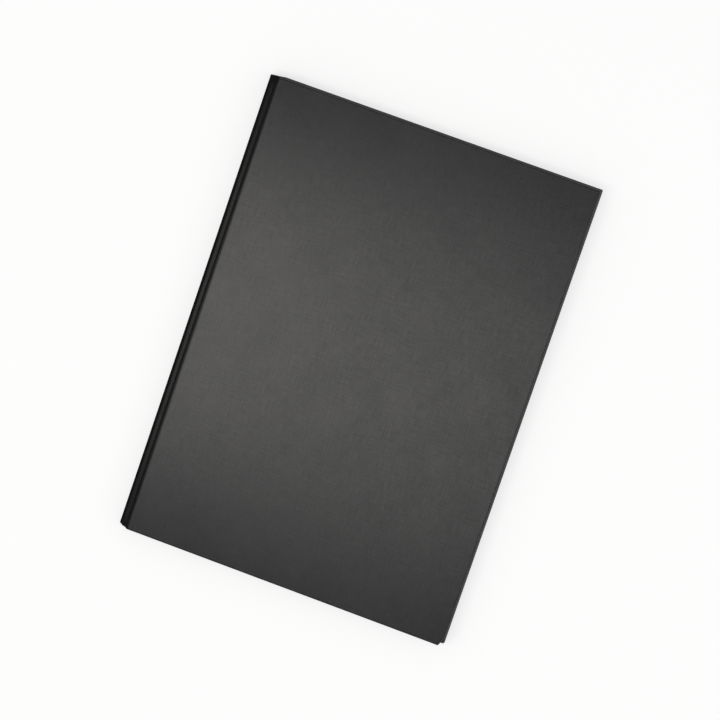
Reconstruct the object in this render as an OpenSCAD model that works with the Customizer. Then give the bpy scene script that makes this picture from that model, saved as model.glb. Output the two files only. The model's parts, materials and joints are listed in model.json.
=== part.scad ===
// A closed, case-bound clipboard folder lying on its back cover.
// Three boards are bound in one cloth: back, spine and front. A sprung clip is riveted inside.
// X runs from the spine to the fore edge, Y from the tail to the head, Z up from the table.

/* [Covers] */
// Height of both covers from tail to head, over the cloth
cover_h = 318; // [290:1:340]
// Width of the front cover from its joint edge to its fore edge
front_w = 223.5; // [205:0.5:240]
// Width of the back cover from its joint edge to its fore edge
back_w = 226.5; // [210:0.5:250]
// Thickness of the front board
front_board_t = 2; // [1.5:0.1:3]
// Thickness of the back board
back_board_t = 2.4; // [2:0.1:3.5]
// Width blunted off the front cover's corner between tail and fore edge
corner_cut_w = 3.5; // [1:0.5:6]
// Height blunted off the same corner
corner_cut_h = 6; // [1:0.5:12]
// Width over which each cover's corner between head and joint is drawn in
nip_w = 4.5; // [2:0.5:8]
// Height by which the same corners are drawn in
nip_h = 1; // [0.4:0.1:2]

/* [Cloth and paper] */
// Thickness of the binding cloth
cloth_t = 0.4; // [0.3:0.05:0.5]
// Thickness of the lining paper
lining_t = 0.25; // [0.15:0.05:0.5]
// Width of the cloth turned in over the board edges
turn_in = 13; // [8:1:15]
// Border of cloth left showing round the lining
lining_margin = 3; // [2:0.5:6]
// Lap of the inner hinge cloth on each cover board
hinge_lap = 12; // [6:1:20]
// Lap of the inner hinge cloth on the spine board
spine_lap = 0.6; // [0.5:0.1:1.2]
// Film of glue between two cloths
glue_gap = 0.05; // [0.02:0.01:0.1]

/* [Spine and joints] */
// Thickness of the spine board
spine_board_t = 2; // [1.5:0.1:2.4]
// Length by which the spine stops short of the covers at head and at tail
spine_short = 1.3; // [0.5:0.1:2.5]
// Lean of the closed spine towards the fore edge, in degrees
spine_lean = 18; // [12:1:22]
// Cloth from the front hinge line to the front board
front_joint = 4.5; // [4:0.25:7]
// Cloth from the back hinge line to the back board
back_joint = 6; // [5.5:0.25:9]
// Cloth from either hinge line to the spine board
spine_gap = 2.75; // [2.5:0.05:3.5]
// Distance from the front hinge line to the bottom of the groove
groove_x = 1.7; // [1.4:0.1:2.2]
// Bend radius of the cloth where it rises from the table
bend_r = 1.5; // [1:0.1:1.6]

/* [Pocket] */
// Width of the pocket inside the front cover
pocket_w = 196; // [150:1:200]
// Height of the pocket
pocket_h = 150; // [100:1:200]
// Thickness of the pocket panel
pocket_t = 0.6; // [0.4:0.1:1]
// Distance from the tail to the pocket
pocket_inset = 6; // [4:1:20]
// Width of the folded strips that hold the panel
gusset_w = 8; // [5:1:14]
// Thickness of a folded strip
gusset_t = 0.5; // [0.3:0.1:1]
// Radius of the thumb notch in the pocket mouth
notch_r = 14; // [8:1:20]

/* [Pen loop] */
// Width inside the flattened loop
loop_w = 9.4; // [8:0.2:12]
// Height inside the flattened loop
loop_rise = 5.4; // [4.6:0.1:6]
// Length of the loop along the pen
loop_len = 22; // [12:1:40]
// Thickness of the elastic
elastic_t = 0.8; // [0.6:0.1:1]
// Distance from the back board's joint edge to the loop
loop_inset = 2.5; // [1:0.5:5]
// Height of the loop's middle above the middle of the cover
loop_y = 60; // [20:1:90]

/* [Clip] */
// Width of the clip lever
clip_w = 100; // [80:1:120]
// Offset of the clip from the middle of the back cover, towards the fore edge
clip_shift = 2; // [-4:0.5:6]
// Distance from the head to the clip
clip_inset = 6; // [4:0.5:12]
// Length of the base plate
base_w = 136; // [126:1:150]
// Depth of the base plate
base_d = 22; // [20:0.5:24]
// Thickness of the base plate and its ears
base_t = 0.9; // [0.7:0.1:1.2]
// Thickness of the lever plate
lever_t = 0.8; // [0.6:0.1:1]
// Reach of the lever behind its pin
thumb_reach = 12; // [11:0.5:13]
// Reach of the lever from its pin to the jaw line
jaw_reach = 13.8; // [13:0.2:16]
// Length of the turned-up lip before the jaw line
lip_reach = 2.7; // [2:0.1:4]
// Drop of the rolled thumb edge
curl_drop = 1.9; // [1.7:0.1:2]
// Room between the clip and the closed front cover
cover_headroom = 0.8; // [0.6:0.1:3]
// Wall of the rubber jaw pads
pad_wall = 0.8; // [0.6:0.1:1]
// Length of a jaw pad along the lip
pad_l = 9; // [6:0.5:16]
// Gap between the jaw pads and the writing face
jaw_gap = 0.1; // [0.05:0.05:0.3]

/* [Pin, springs and rivets] */
// Diameter of the hinge pin
pin_d = 2.4; // [2:0.1:3]
// Radial play of the pin in its bores
pin_play = 0.05; // [0.02:0.01:0.1]
// Diameter of the pin's heads
pin_head_d = 4.2; // [3.6:0.1:5]
// Length of a pin head
pin_head_l = 0.9; // [0.6:0.1:1.5]
// Radius of the ears round the pin
ear_r = 2.4; // [2:0.1:2.6]
// Sideways gap between neighbouring ears and heads
ear_gap = 0.4; // [0.3:0.05:0.6]
// Diameter of the spring wire
spring_wire = 0.9; // [0.7:0.05:1]
// Radial play of the spring coil on the pin
spring_play = 0.5; // [0.4:0.05:0.7]
// Room between the spring coil and the plates
spring_clear = 0.4; // [0.3:0.05:0.6]
// Advance of the coil in one turn
spring_pitch = 1.4; // [1.4:0.05:2]
// Whole turns of each coil, to which half a turn is added
spring_turns = 5; // [3:1:7]
// Reach of the spring legs behind the pin
leg_reach = 8; // [6:0.5:9]
// Distance of each spring from the middle of the clip
spring_x = 24; // [12:1:34]
// Gap between a spring leg and the thumb plate
leg_gap = 0.3; // [0.2:0.05:0.5]
// Diameter of a rivet shank
rivet_d = 4.2; // [3:0.1:5]
// Radial fit of the rivets in their holes
rivet_fit = 0.1; // [0.05:0.01:0.2]
// Gap between the head of the pin and the head of a rivet
rivet_gap = 1.7; // [0.5:0.1:6]
// Diameter of a rivet's domed head
rivet_head_d = 8; // [7:0.1:10]
// Height of a rivet's domed head
rivet_head_h = 1.6; // [1:0.1:2.2]
// Diameter of a rivet's set tail
rivet_tail_d = 6.4; // [5.6:0.1:8]
// Height of a rivet's set tail
rivet_tail_h = 0.6; // [0.4:0.1:0.7]
// Diameter of the washers under the rivet tails
washer_d = 9; // [8.4:0.1:12]
// Thickness of a washer
washer_t = 0.4; // [0.3:0.1:0.6]
// Radial room round a washer in the back board
washer_play = 0.4; // [0.2:0.1:0.8]

/* [Hidden] */
$fn = 48;

cloth_colour = [0.17, 0.17, 0.17];
board_colour = [0.55, 0.53, 0.49];
lining_colour = [0.12, 0.12, 0.13];
steel_colour = [0.72, 0.72, 0.72];
rubber_colour = [0.06, 0.06, 0.06];

// Length by which a cutting shape runs past the face that it cuts
past = 1;
// Largest turn between two points of a bend, in degrees
bend_step = 12;
// Steps along one stretch of the groove
groove_steps = 8;
// Straight cloth at each end of the groove
groove_lead = 0.2;
// How far the groove's curves keep the direction of their ends
groove_pull = 0.75;
// Fold radii of the inner hinge cloth: over a board's edge it keeps half a film of glue inside the fold
fold_r = (cloth_t + glue_gap) / 2;
foot_r = 0.5;
// Bend radii of the lever plate, and of the pads inside its bend at the jaw
curl_r = 0.9;
brow_r = 3;
pad_inner_r = 0.4;
jaw_r = lever_t / 2 + pad_wall + pad_inner_r;
// Start of the lever's slope, before the pin
brow_y = -1.5;
// Rise of the turned-up lip
lip_rise = 0.8;
// Reach of the lever's ears behind and before the pin
ear_back = 7;
ear_front = 9;
// Start of a jaw pad, before the jaw line
pad_back = 3.3;
// Height of a rivet head's straight rim
rivet_rim = 0.4;
// Turn between two points of a rivet's dome, in degrees
dome_step = 15;
// Rings of the spring wire in one turn, and its sides
turn_rings = 8;
wire_sides = 6;

// Heights in the closed folder, from the table up
back_inner_z = cloth_t + back_board_t;
back_fill_z = back_inner_z + cloth_t;
writing_z = back_fill_z + lining_t;
coil_r = pin_d / 2 + spring_play + spring_wire / 2;
coil_room = coil_r + spring_wire / 2 + spring_clear;
pin_z = writing_z + base_t + coil_room;
lever_rise = coil_room + lever_t / 2;
front_face_z = pin_z + lever_rise + lever_t / 2 + cover_headroom;
front_fill_z = front_face_z + lining_t;
front_inner_z = front_fill_z + cloth_t;
front_outer_z = front_inner_z + front_board_t;
closed_t = front_outer_z + cloth_t;

// Spine direction from the back hinge line to the front one, and its inward normal, in X and Z
spine_dir = [sin(spine_lean), cos(spine_lean)];
spine_in = [cos(spine_lean), -sin(spine_lean)];
spine_len = (closed_t - cloth_t) / cos(spine_lean);
spine_layer = cloth_t + spine_board_t;
// Depth at which the inner hinge cloth is glued over the spine board's edges
lap_depth = spine_layer + glue_gap;

// Places along X: the origin lies midway between the spine and the fore edge that reaches further
outermost = bend_r * (1 / tan((90 - spine_lean) / 2) - 1) - cloth_t / 2;
back_reach = back_joint + back_w;
front_reach = spine_len * spine_dir[0] + front_joint + front_w;
overall_w = max(back_reach, front_reach) - outermost;
back_axis = [-overall_w / 2 - outermost, cloth_t / 2];
front_axis = back_axis + spine_len * spine_dir;
back_x = back_axis[0] + back_joint;
front_x = front_axis[0] + front_joint;
clip_x = back_x + back_w / 2 + clip_shift;
pocket_x = front_x + front_w / 2;
loop_x = back_x + loop_inset + elastic_t + loop_w / 2;

// Places along Y
half_h = cover_h / 2;
inner_h = cover_h - 2 * (cloth_t + turn_in);
spine_h = cover_h - 2 * spine_short;
clip_y = half_h - clip_inset - base_d / 2;
pocket_y = pocket_inset - half_h;

// Places of the clip's pieces across its middle
base_ear_x = clip_w / 2 - lever_t - ear_gap - base_t;
pin_half = clip_w / 2 + ear_gap;
rivet_x = pin_half + pin_head_l + rivet_gap + rivet_head_d / 2;
// Radius of the base plate kept round each rivet
rivet_land_r = rivet_head_d / 2 + base_t;
rivet_hole_d = rivet_d + 2 * rivet_fit;
bore_d = pin_d + 2 * pin_play;
tail_z = cloth_t + glue_gap;
washer_z = tail_z + rivet_tail_h;
head_z = writing_z + base_t;

function unit(v) = v / norm(v);
function left_of(v) = [-v[1], v[0]];
function turned(v, a) = [v[0] * cos(a) - v[1] * sin(a), v[0] * sin(a) + v[1] * cos(a)];
function reversed(list) = [for (i = [len(list) - 1 : -1 : 0]) list[i]];

// Points of the arc of radius r that rounds the corner b between a and c
function rounded(a, b, c, r) =
    let(
        u = unit(a - b),
        v = unit(c - b),
        half = acos(u * v) / 2,
        centre = b + unit(u + v) * r / sin(half),
        spoke = b + u * r / tan(half) - centre,
        sweep = sign(cross(b - a, c - b)) * (180 - 2 * half),
        steps = ceil(abs(sweep) / bend_step)
    )
    [for (i = [0 : steps]) centre + turned(spoke, sweep * i / steps)];

// A path through corner points, with each inner corner rounded to its radius
function bent(corners, radii) = [
    corners[0],
    for (i = [1 : len(corners) - 2])
        each rounded(corners[i - 1], corners[i], corners[i + 1], radii[i - 1]),
    corners[len(corners) - 1]
];

// Points of a cubic curve from a to d, without its first point
function curve(a, b, c, d, steps) = [
    for (i = [1 : steps])
        let(t = i / steps, u = 1 - t)
        u * u * u * a + 3 * u * u * t * b + 3 * u * t * t * c + t * t * t * d
];

// The path moved sideways to its left by a distance
function beside(path, distance) = [
    for (i = [0 : len(path) - 1])
        let(
            before = unit(path[max(i, 1)] - path[max(i, 1) - 1]),
            after = unit(path[min(i + 1, len(path) - 1)] - path[min(i, len(path) - 2)]),
            middle = left_of(unit(before + after))
        )
        path[i] + middle * distance / (middle * left_of(before))
];

// Outline of a sheet of thickness t that follows a path
function sheet(path, t) = concat(beside(path, t / 2), reversed(beside(path, -t / 2)));

// A place on the spine, from its distance above the back hinge line and its depth inwards
function on_spine(along, depth) = back_axis + along * spine_dir + depth * spine_in;

// Outer cloth of the back joint, from the table round to the spine board
function back_joint_path() = bent(
    [[back_x, back_axis[1]], back_axis, on_spine(spine_gap, 0)],
    [bend_r]
);

// Inner hinge cloth of the back joint, pressed down between the boards
function back_lining_path() =
    let(
        lap_z = back_inner_z + cloth_t / 2,
        layer = cloth_t + glue_gap,
        edge = cloth_t / 2 + glue_gap,
        low_z = back_axis[1] + layer,
        turn = layer * (1 + sin(spine_lean)) / cos(spine_lean)
    )
    bent(
        [
            [back_x + hinge_lap, lap_z],
            [back_x - edge, lap_z],
            [back_x - edge, low_z],
            on_spine(turn, layer),
            on_spine(spine_gap - edge, layer),
            on_spine(spine_gap - edge, lap_depth),
            on_spine(spine_gap + spine_lap, lap_depth)
        ],
        [fold_r, foot_r, bend_r - layer, fold_r, fold_r]
    );

// Outer cloth of the front joint, pressed into a groove between the board and the spine
function front_joint_path() =
    let(
        a = front_axis + [front_joint, 0],
        a_lead = a - [groove_lead, 0],
        groove = [front_axis[0] + groove_x, front_inner_z + glue_gap + cloth_t / 2],
        b = on_spine(spine_len - spine_gap, 0),
        b_lead = b + groove_lead * spine_dir,
        wall = [groove_pull * (a_lead[0] - groove[0]), 0],
        crest = [groove_pull * (groove[0] - b_lead[0]), 0],
        shoulder = groove_pull * spine_gap / 2 * spine_dir
    )
    concat(
        [a, a_lead],
        curve(a_lead, a_lead - wall, groove + wall, groove, groove_steps),
        curve(groove, groove - crest, b_lead + shoulder, b_lead, groove_steps),
        [b]
    );

// Inner hinge cloth of the front joint, under the groove and on to the spine
function front_lining_path() =
    let(
        lap_z = front_fill_z + cloth_t / 2,
        inner = front_axis + lap_depth * spine_in,
        corner = inner - (inner[1] - lap_z) / spine_dir[1] * spine_dir
    )
    bent(
        [
            [front_x + hinge_lap, lap_z],
            corner,
            on_spine(spine_len - spine_gap - spine_lap, lap_depth)
        ],
        [foot_r]
    );

// Middle line of the lever plate about its pin, from the rolled thumb edge to the lip
lever_slope = [
    [brow_y, lever_rise],
    [-jaw_reach, writing_z - pin_z + lever_t / 2 + pad_wall + jaw_gap]
];
lip_end = lever_slope[1] + [-lip_reach, lip_rise];
function slope_at(y) =
    lever_slope[0][1]
    + (lever_slope[1][1] - lever_slope[0][1]) * (y - brow_y) / (lever_slope[1][0] - brow_y);
function lever_path() = bent(
    [
        [thumb_reach - curl_drop, lever_rise - curl_drop],
        [thumb_reach, lever_rise - curl_drop],
        [thumb_reach, lever_rise],
        lever_slope[0],
        lever_slope[1],
        lip_end
    ],
    [curl_r, curl_r, brow_r, jaw_r]
);
// The same line round the lip alone, from the start of a jaw pad to past the lip's edge
function pad_path() = bent(
    [
        [pad_back - jaw_reach, slope_at(pad_back - jaw_reach)],
        lever_slope[1],
        lip_end + pad_wall * unit(lip_end - lever_slope[1])
    ],
    [jaw_r]
);

// Spring wire about the pin: each point is [x, y, z, angle of its spoke]
coil_turn = 360 * (spring_turns + 0.5);
coil_l = spring_pitch * (spring_turns + 0.5);
lower_leg_z = -coil_room + spring_wire / 2 + glue_gap;
upper_leg_z = coil_room - spring_wire / 2 - leg_gap;
function spring_path() =
    let(rings = round(coil_turn / 360 * turn_rings))
    concat(
        [[-coil_l / 2, leg_reach, lower_leg_z, -90]],
        [[-coil_l / 2, leg_reach / 2, (lower_leg_z - coil_r) / 2, -90]],
        [
            for (i = [0 : rings])
                let(a = -90 - coil_turn * i / rings)
                [coil_l * (i / rings - 0.5), coil_r * cos(a), coil_r * sin(a), a]
        ],
        [[coil_l / 2, leg_reach / 2, (upper_leg_z + coil_r) / 2, -90 - coil_turn]],
        [[coil_l / 2, leg_reach, upper_leg_z, -90 - coil_turn]]
    );
function place(p) = [p[0], p[1], p[2]];
// Least gap of the wire to itself, between points at least half a turn apart
function least_gap(path) = min([
    for (i = [0 : len(path) - 1])
        for (j = [i + turn_rings / 2 : 1 : len(path) - 1])
            norm(place(path[i]) - place(path[j]))
]) - spring_wire;
echo(spring_least_gap = least_gap(spring_path()));

module along_y(length) {
    translate([0, length / 2, 0])
        rotate([90, 0, 0])
            linear_extrude(length)
                children();
}

module along_x(length) {
    translate([-length / 2, 0, 0])
        rotate([90, 0, 90])
            linear_extrude(length)
                children();
}

module slab(x0, x1, h, z0, z1) {
    translate([x0, -h / 2, z0])
        cube([x1 - x0, h, z1 - z0]);
}

// The frame of the spine: Z along it from the back hinge line, X inwards
module at_spine() {
    translate([back_axis[0], 0, back_axis[1]])
        rotate([0, spine_lean, 0])
            children();
}

// The frame of the clip's pin
module at_pin() {
    translate([clip_x, clip_y, pin_z])
        children();
}

module at_rivets() {
    for (side = [-1, 1])
        translate([clip_x + side * rivet_x, clip_y, 0])
            children();
}

module rivet_holes(z0, z1) {
    at_rivets()
        translate([0, 0, z0 - past])
            cylinder(d = rivet_hole_d, h = z1 - z0 + 2 * past);
}

// Corner of a cover between tail and fore edge, drawn in by a margin: square, or cut by a width and a height
function tail_corner(w, margin) = [[w - margin, margin - half_h]];
function cut_corner(w, margin) =
    let(
        cut_l = norm([corner_cut_w, corner_cut_h]),
        area = corner_cut_w * corner_cut_h,
        cut_x = (area + margin * (cut_l - corner_cut_w)) / corner_cut_h,
        cut_y = (area + margin * (cut_l - corner_cut_h)) / corner_cut_w
    )
    cut_x > margin
        ? [[w - cut_x, margin - half_h], [w - margin, cut_y - half_h]]
        : tail_corner(w, margin);

// Corner of a cover between head and joint, drawn in by a margin, from a distance off its joint edge
function head_corner(margin, start) =
    let(
        nip_l = norm([nip_w, nip_h]),
        nip_x = nip_w + margin * (nip_l - nip_w) / nip_h,
        nip_y = half_h - nip_h + (nip_h * start - nip_l * margin) / nip_w
    )
    nip_x > start
        ? [[nip_x, half_h - margin], [start, nip_y]]
        : [[start, half_h - margin]];

// A layer of a cover, drawn in by a margin, from a distance off its joint edge
module back_layer(margin, start, z0, z1) {
    translate([back_x, 0, z0])
        linear_extrude(z1 - z0)
            polygon([
                [start, margin - half_h],
                each tail_corner(back_w, margin),
                [back_w - margin, half_h - margin],
                each head_corner(margin, start)
            ]);
}

module front_layer(margin, start, z0, z1) {
    translate([front_x, 0, z0])
        linear_extrude(z1 - z0)
            polygon([
                [start, margin - half_h],
                each cut_corner(front_w, margin),
                [front_w - margin, half_h - margin],
                each head_corner(margin, start)
            ]);
}

// Room for a joint cloth, which narrows from a cover's edge to the shorter spine
module narrowed(x_cover, along) {
    x_spine = on_spine(along, 0)[0] + cloth_t / 2;
    spine_y = spine_h / 2;
    head_y = half_h - nip_h;
    translate([0, 0, -past])
        linear_extrude(closed_t + 2 * past)
            polygon([
                [x_cover + past, -half_h],
                [x_cover + past, head_y],
                [x_cover, head_y],
                [x_spine, spine_y],
                [x_spine - past, spine_y],
                [x_spine - past, -spine_y],
                [x_spine, -spine_y],
                [x_cover, -half_h]
            ]);
}

module back_cloth() {
    color(cloth_colour)
        difference() {
            back_layer(0, 0, 0, back_fill_z);
            back_layer(cloth_t, -past, cloth_t, back_inner_z);
            back_layer(cloth_t + turn_in, -past, cloth_t, back_fill_z + past);
        }
}

module back_board() {
    color(board_colour)
        difference() {
            back_layer(cloth_t, 0, cloth_t, back_inner_z);
            rivet_holes(cloth_t, back_inner_z);
            at_rivets()
                cylinder(d = washer_d + 2 * washer_play, h = washer_z + washer_t);
        }
}

module back_filler() {
    color(board_colour)
        difference() {
            back_layer(cloth_t + turn_in, hinge_lap, back_inner_z, back_fill_z);
            rivet_holes(back_inner_z, back_fill_z);
        }
}

module back_lining() {
    color(lining_colour)
        difference() {
            back_layer(lining_margin, lining_margin, back_fill_z, writing_z);
            rivet_holes(back_fill_z, writing_z);
        }
}

module back_joint_cloth() {
    color(cloth_colour)
        intersection() {
            along_y(cover_h)
                polygon(sheet(back_joint_path(), cloth_t));
            narrowed(back_x, spine_gap);
        }
}

module back_joint_lining() {
    color(cloth_colour)
        along_y(inner_h)
            polygon(sheet(back_lining_path(), cloth_t));
}

module spine_cloth() {
    depth = spine_board_t + 2 * cloth_t;
    color(cloth_colour)
        at_spine()
            difference() {
                slab(-cloth_t / 2, depth - cloth_t / 2, spine_h, spine_gap, spine_len - spine_gap);
                slab(
                    cloth_t / 2,
                    cloth_t / 2 + spine_board_t,
                    spine_h - 2 * cloth_t,
                    spine_gap - past,
                    spine_len - spine_gap + past
                );
                slab(
                    cloth_t / 2,
                    depth + past,
                    inner_h,
                    spine_gap - past,
                    spine_len - spine_gap + past
                );
            }
}

module spine_board() {
    color(board_colour)
        at_spine()
            slab(
                cloth_t / 2,
                cloth_t / 2 + spine_board_t,
                spine_h - 2 * cloth_t,
                spine_gap,
                spine_len - spine_gap
            );
}

module spine_lining() {
    lap = spine_gap + spine_lap + glue_gap;
    color(cloth_colour)
        at_spine()
            slab(
                spine_layer - cloth_t / 2,
                spine_layer + cloth_t / 2,
                inner_h,
                lap,
                spine_len - lap
            );
}

module front_joint_cloth() {
    color(cloth_colour)
        intersection() {
            along_y(cover_h)
                polygon(sheet(front_joint_path(), cloth_t));
            narrowed(front_x, spine_len - spine_gap);
        }
}

module front_joint_lining() {
    color(cloth_colour)
        along_y(inner_h)
            polygon(sheet(front_lining_path(), cloth_t));
}

module front_cloth() {
    color(cloth_colour)
        difference() {
            front_layer(0, 0, front_fill_z, closed_t);
            front_layer(cloth_t, -past, front_inner_z, front_outer_z);
            front_layer(cloth_t + turn_in, -past, front_fill_z - past, front_outer_z);
        }
}

module front_board() {
    color(board_colour)
        front_layer(cloth_t, 0, front_inner_z, front_outer_z);
}

module front_filler() {
    color(board_colour)
        front_layer(cloth_t + turn_in, hinge_lap, front_fill_z, front_inner_z);
}

module front_lining() {
    color(lining_colour)
        front_layer(lining_margin, lining_margin, front_face_z, front_fill_z);
}

module pocket_panel() {
    color(lining_colour)
        translate([pocket_x, pocket_y, front_face_z - gusset_t - pocket_t])
            difference() {
                translate([-pocket_w / 2, 0, 0])
                    cube([pocket_w, pocket_h, pocket_t]);
                translate([0, pocket_h, -past])
                    cylinder(r = notch_r, h = pocket_t + 2 * past);
            }
}

module pocket_gusset(x0) {
    color(lining_colour)
        translate([pocket_x + x0, pocket_y + gusset_w, front_face_z - gusset_t])
            cube([gusset_w, pocket_h - gusset_w, gusset_t]);
}

module pocket_gusset_left() {
    pocket_gusset(-pocket_w / 2);
}

module pocket_gusset_right() {
    pocket_gusset(pocket_w / 2 - gusset_w);
}

module pocket_bottom_strip() {
    color(lining_colour)
        translate([pocket_x - pocket_w / 2, pocket_y, front_face_z - gusset_t])
            cube([pocket_w, gusset_w, gusset_t]);
}

// A flattened ring's outline: a width and a height with round ends
module flat_round(w, h) {
    square([w - h, h], center = true);
    for (side = [-1, 1])
        translate([side * (w - h) / 2, 0])
            circle(d = h);
}

module pen_loop() {
    color(rubber_colour)
        translate([loop_x, loop_y, writing_z + elastic_t + loop_rise / 2])
            along_y(loop_len)
                difference() {
                    flat_round(loop_w + 2 * elastic_t, loop_rise + 2 * elastic_t);
                    flat_round(loop_w, loop_rise);
                }
}

module clip_base() {
    color(steel_colour)
        difference() {
            union() {
                translate([clip_x, clip_y, writing_z])
                    linear_extrude(base_t) {
                        flat_round(base_w, base_d);
                        for (side = [-1, 1])
                            translate([side * rivet_x, 0])
                                circle(r = rivet_land_r);
                    }
                at_pin()
                    for (side = [-1, 1])
                        translate([side * (base_ear_x + base_t / 2), 0, 0])
                            along_x(base_t) {
                                circle(r = ear_r);
                                translate([-ear_r, writing_z - pin_z])
                                    square([2 * ear_r, pin_z - writing_z]);
                            }
            }
            at_pin()
                along_x(clip_w)
                    circle(d = bore_d);
            rivet_holes(writing_z, head_z);
        }
}

module clip_lever() {
    color(steel_colour)
        at_pin()
            difference() {
                union() {
                    along_x(clip_w)
                        polygon(sheet(lever_path(), lever_t));
                    for (side = [-1, 1])
                        translate([side * (clip_w - lever_t) / 2, 0, 0])
                            along_x(lever_t) {
                                circle(r = ear_r);
                                polygon([
                                    [ear_back, lever_rise],
                                    lever_slope[0],
                                    [-ear_front, slope_at(-ear_front)],
                                    [-ear_r, 0],
                                    [ear_r, 0]
                                ]);
                            }
                }
                along_x(clip_w + 2 * past)
                    circle(d = bore_d);
            }
}

module clip_pin() {
    color(steel_colour)
        at_pin() {
            along_x(2 * pin_half)
                circle(d = pin_d);
            for (side = [-1, 1])
                translate([side * (pin_half + pin_head_l / 2), 0, 0])
                    along_x(pin_head_l)
                        circle(d = pin_head_d);
        }
}

module clip_spring(x) {
    path = spring_path();
    rings = len(path);
    last = (rings - 1) * wire_sides;
    points = [
        for (p = path)
            for (k = [0 : wire_sides - 1])
                let(
                    out = spring_wire / 2 * cos(360 * k / wire_sides),
                    over = spring_wire / 2 * sin(360 * k / wire_sides)
                )
                place(p) + [over, out * cos(p[3]), out * sin(p[3])]
    ];
    walls = [
        for (i = [0 : rings - 2])
            for (k = [0 : wire_sides - 1])
                let(
                    a = i * wire_sides + k,
                    b = i * wire_sides + (k + 1) % wire_sides
                )
                each [[a, b, b + wire_sides], [a, b + wire_sides, a + wire_sides]]
    ];
    ends = [
        for (k = [1 : wire_sides - 2])
            each [[0, k + 1, k], [last, last + k, last + k + 1]]
    ];
    color(steel_colour)
        at_pin()
            translate([x, 0, 0])
                polyhedron(points, concat(walls, ends));
}

module clip_spring_left() {
    clip_spring(-spring_x);
}

module clip_spring_right() {
    clip_spring(spring_x);
}

module clip_rivets() {
    rim_z = head_z + rivet_rim;
    dome_h = rivet_head_h - rivet_rim;
    color(steel_colour)
        at_rivets()
            rotate_extrude()
                polygon([
                    [0, tail_z],
                    [rivet_tail_d / 2, tail_z],
                    [rivet_tail_d / 2, washer_z],
                    [rivet_d / 2, washer_z],
                    [rivet_d / 2, head_z],
                    [rivet_head_d / 2, head_z],
                    for (a = [0 : dome_step : 90])
                        [rivet_head_d / 2 * cos(a), rim_z + dome_h * sin(a)]
                ]);
}

module rivet_washers() {
    color(steel_colour)
        at_rivets()
            translate([0, 0, washer_z])
                difference() {
                    cylinder(d = washer_d, h = washer_t);
                    translate([0, 0, -past])
                        cylinder(d = rivet_hole_d, h = washer_t + 2 * past);
                }
}

// A rubber cap over one end of the jaw lip
module jaw_pad(side) {
    color(rubber_colour)
        at_pin()
            difference() {
                translate([side * (clip_w - pad_l + pad_wall) / 2, 0, 0])
                    along_x(pad_l + pad_wall)
                        polygon(sheet(pad_path(), lever_t + 2 * pad_wall));
                along_x(clip_w)
                    polygon(sheet(lever_path(), lever_t));
            }
}

module jaw_pad_left() {
    jaw_pad(-1);
}

module jaw_pad_right() {
    jaw_pad(1);
}

back_cloth();
back_board();
back_filler();
back_lining();
back_joint_cloth();
back_joint_lining();
spine_cloth();
spine_board();
spine_lining();
front_joint_cloth();
front_joint_lining();
front_cloth();
front_board();
front_filler();
front_lining();
pocket_panel();
pocket_gusset_left();
pocket_gusset_right();
pocket_bottom_strip();
pen_loop();
clip_base();
clip_lever();
clip_pin();
clip_spring_left();
clip_spring_right();
clip_rivets();
rivet_washers();
jaw_pad_left();
jaw_pad_right();
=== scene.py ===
import json
import math

import bmesh
import bpy
import numpy as np
from mathutils import Euler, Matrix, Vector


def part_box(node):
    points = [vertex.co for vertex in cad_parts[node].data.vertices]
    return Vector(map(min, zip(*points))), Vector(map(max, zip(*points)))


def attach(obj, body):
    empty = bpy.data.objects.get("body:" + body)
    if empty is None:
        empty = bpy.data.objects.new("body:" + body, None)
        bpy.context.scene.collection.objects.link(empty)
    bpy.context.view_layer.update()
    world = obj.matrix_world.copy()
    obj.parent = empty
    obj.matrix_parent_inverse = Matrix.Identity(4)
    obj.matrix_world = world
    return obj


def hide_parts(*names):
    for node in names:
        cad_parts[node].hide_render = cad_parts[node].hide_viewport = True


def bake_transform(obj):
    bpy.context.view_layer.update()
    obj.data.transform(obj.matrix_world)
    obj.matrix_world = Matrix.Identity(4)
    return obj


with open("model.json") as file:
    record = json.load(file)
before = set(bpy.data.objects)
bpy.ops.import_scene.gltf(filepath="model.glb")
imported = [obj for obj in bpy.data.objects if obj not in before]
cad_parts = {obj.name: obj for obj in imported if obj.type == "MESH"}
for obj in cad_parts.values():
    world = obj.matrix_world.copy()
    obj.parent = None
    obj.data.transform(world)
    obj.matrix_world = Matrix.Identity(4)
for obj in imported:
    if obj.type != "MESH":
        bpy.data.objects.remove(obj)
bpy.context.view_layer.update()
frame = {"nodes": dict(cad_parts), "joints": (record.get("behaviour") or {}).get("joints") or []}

# Shapes are worked out in millimetres, in the frame of the solids; a mesh is made in metres.
MM = 0.001
# Two points of a path closer than this are taken for one; those of a patch, within a micrometre.
SAME = 0.005
MICROMETRES = 1000
# Edges that turn by more degrees than this stay sharp.
CREASE = 40

# The binding, in millimetres: the cloth, its glue, how far it is turned in, the radius of a covered
# board's edge and the narrow row of faces beside it.
CLOTH = 0.4
GLUE = 0.05
TURN_IN = 13.0
BOARD_EDGE = 0.6
FLAT_EDGE = 0.2
# The joints, the spine board's place and thickness, and the laps of the inner cloth.
FRONT_JOINT = 4.5
BACK_JOINT = 6.0
SPINE_GAP = 2.75
SPINE_BOARD = 2.0
SPINE_LAP = 0.6
HINGE_LAP = 12.0
# The groove: its place, the straight stretches at its ends, and how far its curves hold their way.
GROOVE_X = 1.7
COVER_LEAD = 0.9
SPINE_LEAD = 0.2
GROOVE_PULL = 0.75
# The bend at the table, and the softer corners of the inner cloth.
BEND = 1.5
FOOT_BEND = 0.5
# Corners, as width and height: blunted by tail and fore edge, drawn in by head and joint.
FRONT_CORNER = (2.5, 6.0)
BACK_CORNER = (0.6, 0.6)
NIP = (4.5, 0.7)
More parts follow.
